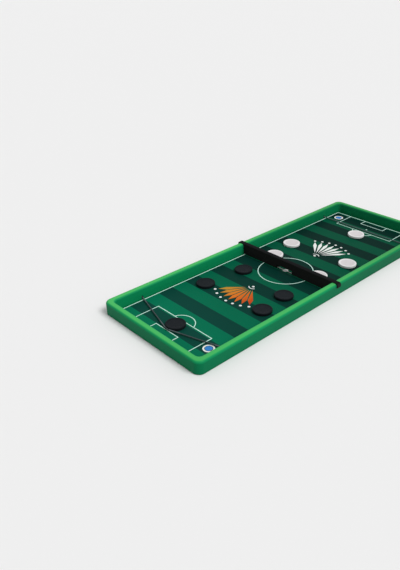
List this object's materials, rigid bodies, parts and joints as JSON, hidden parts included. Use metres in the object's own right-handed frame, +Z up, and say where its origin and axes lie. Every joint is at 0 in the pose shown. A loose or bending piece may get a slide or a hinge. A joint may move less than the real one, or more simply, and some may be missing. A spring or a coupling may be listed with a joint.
{
  "type": "sling puck game",
  "caption": "Shallow tray game for two: printed pitch in a moulded rim, clip-on divider with a gate, an elastic sling across each end, and flat round pucks in black and white.",
  "frame": {"origin": "on the table, under the middle of the pitch", "axes": "+X across the pitch, +Y along it towards the far player, +Z up"},
  "size_m": [0.2162, 0.5768, 0.0228],
  "materials": {
    "rim_plastic": "moulded, satin, bright green, a little darker down its sides",
    "board": "plain hardboard, smooth",
    "printed_sheet": "printed green stripes and pale pitch lines, satin",
    "rubber_pad": "matte rubber",
    "screw_steel": "zinc plated",
    "stopper_plastic": "moulded, matte",
    "elastic_cord": "braided elastic cord, dark grey",
    "divider_plastic": "moulded, satin black",
    "black_puck": "moulded, satin black",
    "white_puck": "moulded, semi-gloss white"
  },
  "bodies": {
    "frame": {"rim_frame": "rim_plastic", "play_board": "board", "pitch_sheet": "printed_sheet", "foot_pad_1": "rubber_pad", "foot_pad_2": "rubber_pad", "foot_pad_3": "rubber_pad", "foot_pad_4": "rubber_pad", "board_screw_1": "screw_steel", "board_screw_2": "screw_steel", "board_screw_3": "screw_steel", "board_screw_4": "screw_steel", "board_screw_5": "screw_steel", "board_screw_6": "screw_steel", "board_screw_7": "screw_steel", "board_screw_8": "screw_steel", "cord_stopper_near_left": "stopper_plastic", "cord_stopper_near_right": "stopper_plastic", "cord_stopper_far_left": "stopper_plastic", "cord_stopper_far_right": "stopper_plastic"},
    "divider": {"centre_divider": "divider_plastic"},
    "near_sling": {"near_cord": "elastic_cord"},
    "far_sling": {"far_cord": "elastic_cord"},
    "held_puck": {"black_puck_in_sling": "black_puck"},
    "near_puck_1": {"black_puck_1": "black_puck"},
    "near_puck_2": {"black_puck_2": "black_puck"},
    "near_puck_3": {"black_puck_3": "black_puck"},
    "near_puck_4": {"black_puck_4": "black_puck"},
    "far_puck_1": {"white_puck_1": "white_puck"},
    "far_puck_2": {"white_puck_2": "white_puck"},
    "far_puck_3": {"white_puck_3": "white_puck"},
    "far_puck_4": {"white_puck_4": "white_puck"},
    "far_puck_5": {"white_puck_5": "white_puck"}
  },
  "joints": [
    {"name": "divider_lift", "type": "slide", "parent": "frame", "child": "divider", "axis": [0, 0, 1], "range_m": [0, 0.05]},
    {"name": "near_sling_draw", "type": "slide", "parent": "frame", "child": "near_sling", "axis": [0, 1, 0], "range_m": [-0.015, 0.0276], "deforming": ["near_cord"]},
    {"name": "far_sling_draw", "type": "slide", "parent": "frame", "child": "far_sling", "axis": [0, 1, 0], "range_m": [0, 0.035], "stiffness_N_per_m": 40, "deforming": ["far_cord"]},
    {"name": "held_puck_shot", "type": "slide", "parent": "near_sling", "child": "held_puck", "axis": [0, 1, 0], "range_m": [0, 0.302]},
    {"name": "near_puck_1_slide", "type": "slide", "parent": "frame", "child": "near_puck_1", "axis": [0, 1, 0], "range_m": [-0.023, 0.031]},
    {"name": "near_puck_2_slide", "type": "slide", "parent": "frame", "child": "near_puck_2", "axis": [0, 1, 0], "range_m": [-0.081, 0.023]},
    {"name": "near_puck_3_slide", "type": "slide", "parent": "frame", "child": "near_puck_3", "axis": [0, 1, 0], "range_m": [-0.012, 0.047]},
    {"name": "near_puck_4_slide", "type": "slide", "parent": "frame", "child": "near_puck_4", "axis": [0, 1, 0], "range_m": [-0.087, 0.012]},
    {"name": "far_puck_1_slide", "type": "slide", "parent": "frame", "child": "far_puck_1", "axis": [0, 1, 0], "range_m": [-0.008, 0.013]},
    {"name": "far_puck_2_slide", "type": "slide", "parent": "frame", "child": "far_puck_2", "axis": [0, 1, 0], "range_m": [-0.013, 0.125]},
    {"name": "far_puck_3_slide", "type": "slide", "parent": "frame", "child": "far_puck_3", "axis": [0, 1, 0], "range_m": [0, 0.02]},
    {"name": "far_puck_4_slide", "type": "slide", "parent": "frame", "child": "far_puck_4", "axis": [0, 1, 0], "range_m": [-0.07, 0.01]},
    {"name": "far_puck_5_slide", "type": "slide", "parent": "frame", "child": "far_puck_5", "axis": [0, 1, 0], "range_m": [-0.02, 0.118]}
  ]
}
